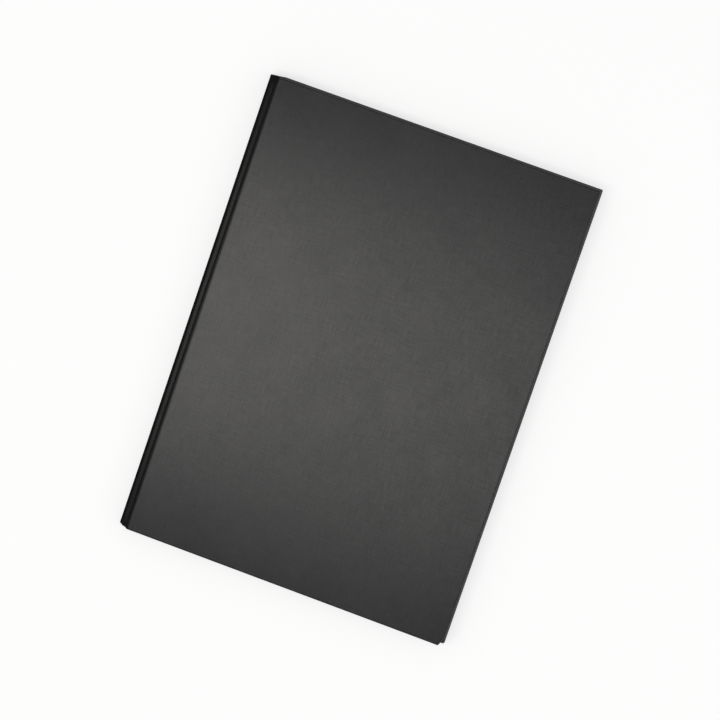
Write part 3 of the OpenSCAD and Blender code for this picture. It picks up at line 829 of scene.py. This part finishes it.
def back_hinge_path():
    """Off the spine board and over its edge, along the outer cloth, then up over the back board."""
    lap_z = corners_of("back_joint_lining")[1][2] - CLOTH / 2
    layer, edge = CLOTH + GLUE, CLOTH / 2 + GLUE
    depth = CLOTH + SPINE_BOARD + GLUE
    turn = layer * (1 + spine_up[0]) / spine_up[1]
    fold = layer / 2
    return rounded(
        np.array(
            [
                on_spine(SPINE_GAP + SPINE_LAP, depth),
                on_spine(SPINE_GAP - edge, depth),
                on_spine(SPINE_GAP - edge, layer),
                on_spine(turn, layer),
                [back_joint_x - edge, back_axis[1] + layer],
                [back_joint_x - edge, lap_z],
                [back_joint_x + HINGE_LAP, lap_z],
            ]
        ),
        [fold, fold, BEND - layer, FOOT_BEND, fold],
    )


spine_path = np.array([on_spine(spine_length - SPINE_GAP, 0), on_spine(SPINE_GAP, 0)])
inner_lap = SPINE_GAP + SPINE_LAP + GLUE
spine_inner_path = np.array(
    [
        on_spine(spine_length - inner_lap, CLOTH + SPINE_BOARD),
        on_spine(inner_lap, CLOTH + SPINE_BOARD),
    ]
)
front_foot = front_axis + (CLOTH + SPINE_BOARD) * np.array(FRONT_FOOT)
front_swing = (front_axis - FRONT_SWING * spine_up, front_axis + [FRONT_SWING, 0])
back_swing = (back_axis + [BACK_SWING, 0], back_axis + BACK_SWING * spine_up)
front_lining_swing = tuple(front_foot + place for place in FRONT_LINING_SWING)
back_lining_swing = tuple(back_axis + place for place in BACK_LINING_SWING)

# Each row: the piece, the solid it stands for, the board it lies on, its path, section and longest
# step, how much it stops short at both ends of the path, and the bodies and places it bends between.
for name, node_name, rests, path, section, step, short, bodies in (
    (
        "front_groove_cloth", "front_joint_cloth", "front_board",
        groove_path(), flap, 0.3, (COVER_SHORT, SPINE_TOP_SHORT),
        ("spine", "front_cover", *front_swing),
    ),
    (
        "spine_strip_cloth", "spine_cloth", "spine_board",
        spine_path, spine_flap, 1.0, (SPINE_TOP_SHORT, SPINE_FOOT_SHORT),
        ("spine",),
    ),
    (
        "back_fold_cloth", "back_joint_cloth", "back_board",
        fold_path(), flap, 0.3, (SPINE_FOOT_SHORT, COVER_SHORT),
        ("back_cover", "spine", *back_swing),
    ),
    (
        "front_hinge_cloth", "front_joint_lining", "front_board",
        front_hinge_path(), plain, 0.2, (LINING_SHORT, LINING_SHORT),
        ("spine", "front_cover", *front_lining_swing),
    ),
    (
        "spine_inner_cloth", "spine_lining", "spine_board",
        spine_inner_path, plain, 1.0, (LINING_SHORT, LINING_SHORT),
        ("spine",),
    ),
    (
        "back_hinge_cloth", "back_joint_lining", "back_board",
        back_hinge_path(), plain, 0.1, (LINING_SHORT, LINING_SHORT),
        ("back_cover", "spine", *back_lining_swing),
    ),
):
    (points, uv, quads), cut = strip(path, section, step, short)
    if section is plain:
        cloth, slot, held = hinge_cloth, "hinge_cloth", "laid"
        quads = quads[:, ::-1]
    else:
        cloth, slot, held = bent_cloth, "binding_cloth", "stretched"
    piece = made(name, *thickened(points, uv, quads, CLOTH), cloth, slot)
    if name == "front_groove_cloth":
        finished_where(piece, ridge_cloth, rise_of_faces(piece) >= FACE_RISE)
    # The flaps turned in at head and tail get the cloth that is painted lighter: painted light.
    if section is not plain:
        flap_start = cut[1] / 2 - TURN_IN + BOARD_EDGE
        finished_where(piece, painted_light_turned_cloth, np.abs(place_on_cut(piece)[:, 1]) > flap_start)
    if len(bodies) == 1:
        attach(piece, bodies[0])
    else:
        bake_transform(piece)
    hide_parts(node_name)


# Pocket


def pocket_card():
    """
    The pocket's front: a card with a round thumb notch in its open edge. A point's y runs from the
    foot to the open edge above it, and the card bows out by half a sine across, more to the edge.
    """
    low, high = corners_of("pocket_panel")
    middle = (low[0] + high[0]) / 2
    side = np.linspace(low[0], middle - NOTCH, CARD_COLUMNS)
    turn = np.linspace(-math.pi / 2, math.pi / 2, NOTCH_POINTS)
    round_notch = middle + NOTCH * np.sin(turn)
    x = np.concatenate([side, round_notch[1:-1], 2 * middle - side[::-1]])
    top = high[1] - np.sqrt(np.maximum(NOTCH**2 - (x - middle) ** 2, 0))
    share = np.linspace(0, 1, CARD_ROWS)
    points = np.empty((len(share), len(x), 3))
    points[..., 0] = x
    points[..., 1] = low[1] + share[:, None] * (top - low[1])
    bow = CARD_BOW * np.sin(math.pi * (x - low[0]) / (high[0] - low[0]))
    points[..., 2] = (low[2] + high[2]) / 2 - bow * share[:, None] ** BOW_POWER
    uv = points[..., :2].copy()
    points, uv, quads = patch(points, uv)
    return thickened(points, uv, quads[:, ::-1], high[2] - low[2]), high - low


shape, size = pocket_card()
piece = made("pocket_front_card", *shape, card, "lining_paper")
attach(piece, "front_cover")
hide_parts("pocket_panel")


def folded_gusset(node_name, across, towards):
    """
    A gusset of paper folded once: a hairpin path across the gusset, whose fold points into the
    pocket, carried straight along its length.
    """
    low, high = corners_of(node_name)
    along = 1 - across
    gap = GUSSET_PAPER / 2 + GUSSET_SLACK
    near, far = (low, high) if towards > 0 else (high, low)
    hairpin = rounded(
        np.array(
            [
                [near[across] + towards * GUSSET_INSET, high[2] - gap],
                [far[across] - towards * FOLD_INSET, high[2] - gap],
                [far[across] - towards * FOLD_INSET, low[2] + gap],
                [near[across] + towards * GUSSET_INSET, low[2] + gap],
            ]
        ),
        [(high[2] - low[2]) / 2 - gap - FOLD_FLAT] * 2,
    )
    hairpin = filled(hairpin, GUSSET_STEP)
    run = np.linspace(low[along], high[along], GUSSET_ROWS)
    points = np.empty((len(hairpin), len(run), 3))
    points[..., across] = hairpin[:, :1]
    points[..., along] = run
    points[..., 2] = hairpin[:, 1:]
    u = reach_along(hairpin)
    uv = np.stack(np.meshgrid(u, run, indexing="ij"), -1)
    points, uv, quads = patch(points, uv)
    if (towards > 0) == (across == 0):
        quads = quads[:, ::-1]
    return thickened(points, uv, quads, GUSSET_PAPER), (u[-1] * MM, (high[along] - low[along]) * MM)


for node_name, across, towards in (
    ("pocket_gusset_left", 0, 1),
    ("pocket_gusset_right", 0, -1),
    ("pocket_bottom_strip", 1, 1),
):
    shape, cut = folded_gusset(node_name, across, towards)
    piece = made(node_name + "_fold", *shape, paper, "lining_paper")
    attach(piece, "front_cover")
    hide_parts(node_name)


# Pen loop


def elastic_loop():
    """
    A ring of flat elastic, carried along Y: two straights and two half circles, with the ends of
    the loop drawn in a little at the middle of their length.
    """
    low, high = corners_of("pen_loop")
    radius = (high[2] - low[2]) / 2 - ELASTIC / 2
    centre_z = (low[2] + high[2]) / 2
    left, right = low[0] + radius + ELASTIC / 2, high[0] - radius - ELASTIC / 2
    bend = np.linspace(0, math.pi, LOOP_BEND_POINTS)
    flat = np.linspace(0, 1, LOOP_FLAT_POINTS)[1:-1]
    ring = np.concatenate(
        [
            np.stack([right + radius * np.sin(bend), centre_z + radius * np.cos(bend)], -1),
            np.stack([right + flat * (left - right), np.full(len(flat), centre_z - radius)], -1),
            np.stack([left - radius * np.sin(bend), centre_z - radius * np.cos(bend)], -1),
            np.stack([left + flat * (right - left), np.full(len(flat), centre_z + radius)], -1),
        ]
    )
    ring = np.concatenate([ring, ring[:1]])
    run = np.linspace(low[1], high[1], LOOP_ROWS)
    pinch = LOOP_PINCH * np.cos(math.pi * (run - run.mean()) / (run[-1] - run[0]))
    side = right_of(ring)
    side[[0, -1]] = [0, -1]
    points = np.empty((len(ring), len(run), 3))
    points[..., 0] = ring[:, :1] + side[:, :1] * pinch
    points[..., 1] = run
    points[..., 2] = ring[:, 1:] + np.where(side[:, 1:] > 0, side[:, 1:], 0) * pinch
    u = reach_along(ring)
    uv = np.stack(np.meshgrid(u, run, indexing="ij"), -1)
    points, uv, quads = joined(patch(points, uv))
    return thickened(points, uv, quads[:, ::-1], ELASTIC), (u[-1] * MM, (run[-1] - run[0]) * MM)


shape, cut = elastic_loop()
piece = made("pen_loop_elastic", *shape, elastic, "elastic")
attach(piece, "back_cover")
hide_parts("pen_loop")


# Clip

pin_x, pin_y, pin_z = hinge_place("clip_hinge")


def wound_wire(centre_x):
    """
    A torsion spring: a helix about the pin between two straight legs. The wire's section is a
    circle turned about each point, in the plane of the coil's spoke and the pin.
    """
    turn = np.linspace(0, 1, COIL_POINTS)
    angle = -math.pi / 2 - 2 * math.pi * COIL_TURNS * turn
    coil = np.stack(
        [COIL_LENGTH * (turn - 0.5), COIL * np.cos(angle), COIL * np.sin(angle)], -1
    )
    ease = np.linspace(0, 1, LEG_POINTS + 1)[:-1, None]
    first_end = np.array([-COIL_LENGTH / 2, SPRING_LEG, LOWER_LEG])
    last_end = np.array([COIL_LENGTH / 2, SPRING_LEG, UPPER_LEG])
    first_leg = first_end + ease * (coil[0] - first_end)
    last_leg = last_end + ease * (coil[-1] - last_end)
    path = np.concatenate([first_leg, coil, last_leg[::-1]])
    spoke = np.concatenate([np.full(LEG_POINTS, angle[0]), angle, np.full(LEG_POINTS, angle[-1])])
    around = np.linspace(0, 2 * math.pi, WIRE_POINTS)
    points = np.empty((len(path), len(around), 3))
    points[..., 0] = pin_x + centre_x + path[:, :1] + WIRE / 2 * np.sin(around)
    points[..., 1] = pin_y + path[:, 1:2] + WIRE / 2 * np.cos(around) * np.cos(spoke)[:, None]
    points[..., 2] = pin_z + path[:, 2:] + WIRE / 2 * np.cos(around) * np.sin(spoke)[:, None]
    uv = np.stack(np.meshgrid(reach_along(path), WIRE / 2 * around, indexing="ij"), -1)
    first_end, last_end = (
        np.broadcast_to(ring[:, :-1].mean(axis=1, keepdims=True), ring.shape)
        for ring in (points[:1], points[-1:])
    )
    first_cap = np.concatenate([first_end, points[:1]])
    last_cap = np.concatenate([points[-1:], last_end])
    cap_uv = np.zeros((2, len(around), 2))
    return joined(patch(points, uv), patch(first_cap, cap_uv), patch(last_cap, cap_uv))


for node_name in ("clip_spring_left", "clip_spring_right"):
    low, high = corners_of(node_name)
    points, uv, quads = wound_wire((low[0] + high[0]) / 2 - pin_x)
    piece = made(node_name + "_wire", points, uv, quads, wire, "spring_steel")
    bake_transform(piece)
    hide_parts(node_name)


def softened(node_name, name, radius_mm, material):
    """A copy of a pressed or moulded solid, merged, its flat faces joined and sharp edges rounded."""
    mesh = frame["nodes"][node_name].data.copy()
    shape = bmesh.new()
    shape.from_mesh(mesh)
    bmesh.ops.remove_doubles(shape, verts=shape.verts, dist=MERGED)
    bmesh.ops.dissolve_limit(
        shape, angle_limit=math.radians(FLAT_ANGLE), verts=shape.verts, edges=shape.edges
    )
    sharp_turn = math.radians(SHARP_ANGLE)
    sharp = [e for e in shape.edges if e.is_manifold and e.calc_face_angle() > sharp_turn]
    bmesh.ops.bevel(
        shape,
        geom=sharp,
        offset=radius_mm * MM,
        segments=ROUND_STEPS,
        profile=0.5,
        affect="EDGES",
        clamp_overlap=True,
    )
    bmesh.ops.remove_doubles(shape, verts=shape.verts, dist=MERGED)
    shape.to_mesh(mesh)
    shape.free()
    mesh.name = name
    return placed(name, mesh, material)


for node_name, name, radius, finish, slot, body in (
    ("clip_base", "clip_base_plate", 0.15, nickel, "plated_steel", "back_cover"),
    ("clip_lever", "clip_lever_plate", 0.15, nickel, "plated_steel", "clip_lever"),
    ("clip_pin", "clip_hinge_pin", 0.2, nickel, "plated_steel", "back_cover"),
    ("clip_rivets", "clip_rivet_pair", 0.12, nickel, "plated_steel", "back_cover"),
    ("jaw_pad_left", "jaw_pad_left_cap", 0.2, rubber, "jaw_rubber", "clip_lever"),
    ("jaw_pad_right", "jaw_pad_right_cap", 0.2, rubber, "jaw_rubber", "clip_lever"),
):
    piece = softened(node_name, name, radius, finish)
    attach(piece, body)
    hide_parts(node_name)


# Floor, light and camera


# Half the table's side, in metres.
TABLE = 6.0
# What the table adds to its lit white where the eye sees it, and the light from all round.
TABLE_GLOW = 0.68
AMBIENT = 0.38


def seen_by_eye(tree):
    """1 on the rays that the eye follows, straight, reflected or let through; 0 on those of light."""
    path = node(tree, "LightPath")
    seen = path.outputs["Is Camera Ray"]
    for ray in ("Is Glossy Ray", "Is Transmission Ray"):
        seen = node(tree, "Math", {0: seen, 1: path.outputs[ray]}, operation="MAXIMUM")
    return seen


def pale_table():
    """
    A pale studio table: nearly white to the eye and in reflections, with the object's shadow; to
    the light that bounces it is a mid grey, so the edges near it stay dark.
    """
    material, tree = blank("pale_studio_table")
    dull = node(tree, "BsdfDiffuse", {"Color": linear("#8C8C8C")})
    white = node(tree, "BsdfDiffuse", {"Color": linear("#BCBCBC")})
    glow = node(tree, "Emission", {"Strength": TABLE_GLOW})
    lit = node(tree, "AddShader", {0: white, 1: glow})
    mix = node(tree, "MixShader", {0: seen_by_eye(tree), 1: dull, 2: lit})
    node(tree, "OutputMaterial", {"Surface": mix})
    return material


mesh = bpy.data.meshes.new("studio_table")
mesh.from_pydata(
    [(-TABLE, -TABLE, 0), (TABLE, -TABLE, 0), (TABLE, TABLE, 0), (-TABLE, TABLE, 0)],
    [],
    [(0, 1, 2, 3)],
)
mesh.materials.append(pale_table())
table = bpy.data.objects.new("studio_table", mesh)
bpy.context.scene.collection.objects.link(table)

# The backdrop that the eye sees is white down to the table and darkens overhead.
world = bpy.data.worlds.new("studio")
world.use_nodes = True
tree = world.node_tree
tree.nodes.clear()
way = node(tree, "TexCoord").outputs["Generated"]
height = node(tree, "SeparateXYZ", {0: way}).outputs["Z"]
backdrop = node(
    tree,
    "MapRange",
    {"Value": height, "From Min": 0.35, "From Max": 0.85, "To Min": 1.0, "To Max": 0.1},
)
level = node(tree, "Mix", {0: seen_by_eye(tree), 2: AMBIENT, 3: backdrop})
sky = node(tree, "Background", {"Color": (1, 1, 1, 1), "Strength": level})
node(tree, "OutputWorld", {"Surface": sky})
bpy.context.scene.world = world


def softbox(name, place, size, power, colour, aim):
    """A rectangular area light that faces a point."""
    light = bpy.data.lights.new(name, "AREA")
    light.shape = "RECTANGLE"
    light.size, light.size_y = size
    light.energy = power
    light.color = linear(colour)[:3]
    lamp = bpy.data.objects.new(name, light)
    lamp.location = place
    way = np.array(aim) - place
    away = math.hypot(way[0], way[1])
    lamp.rotation_euler = (math.atan2(away, -way[2]), 0, math.atan2(-way[0], way[1]))
    bpy.context.scene.collection.objects.link(lamp)


softbox(
    "overhead_softbox",
    place=(-0.325, -0.178, 1.3),
    size=(0.77, 0.34),
    power=3.35,
    colour="#FFFDF9",
    aim=(-0.325, -0.178, 0.0),
)
softbox(
    "side_softbox",
    place=(1.1, 0.15, 1.0),
    size=(0.9, 1.2),
    power=2.5,
    colour="#FFFFFF",
    aim=(0.0, 0.0, 0.0),
)

# The camera stands where the photograph's outline puts it.
camera = bpy.data.objects.new("camera", bpy.data.cameras.new("camera"))
camera.data.lens = 200.0
camera.data.sensor_width = 36.0
camera.location = (0.35464, 0.35892, 2.5899)
camera.rotation_euler = Euler([math.radians(a) for a in (-4.874, 9.891, 19.089)])
bpy.context.scene.collection.objects.link(camera)
bpy.context.scene.camera = camera
bpy.context.scene.view_settings.view_transform = "Standard"
